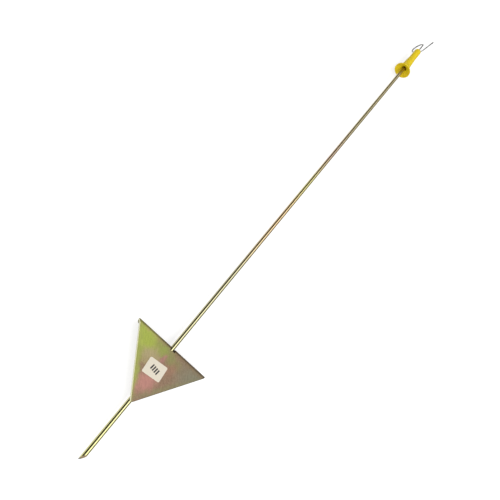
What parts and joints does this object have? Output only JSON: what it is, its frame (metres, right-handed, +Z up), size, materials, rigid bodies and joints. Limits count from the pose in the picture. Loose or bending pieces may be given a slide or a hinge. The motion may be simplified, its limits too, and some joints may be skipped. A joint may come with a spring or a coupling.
{
  "type": "step-in fence post",
  "caption": "Slim steel step-in fence post with a triangular tread plate, a plastic head insulator with a rain bell and a wire pigtail that holds the fence line.",
  "frame": {"origin": "middle of the bounding box at the floor, with the post lying on its back as it comes to rest", "axes": "+Y along the post from the spike to the head (tilted up by the slight slope of the rest), +Z up out of the plate's front, +X across the plate"},
  "size_m": [0.1328, 1.0502, 0.0409],
  "materials": {
    "plated_rod": "yellow chromate zinc plating on drawn bar, glossy",
    "plated_sheet": "iridescent yellow chromate zinc plating on rolled sheet, satin",
    "plated_weld": "yellow chromate zinc plating over rough weld metal",
    "paper_label": "matt paper sticker",
    "insulator_plastic": "moulded polypropylene, semi-gloss",
    "wire_steel": "drawn stainless spring wire"
  },
  "bodies": {
    "root": {"post_rod": "plated_rod", "tread_plate": "plated_sheet", "weld_beads": "plated_weld", "label": "paper_label", "head_insulator": "insulator_plastic", "pigtail_wire": "wire_steel"}
  },
  "joints": []
}
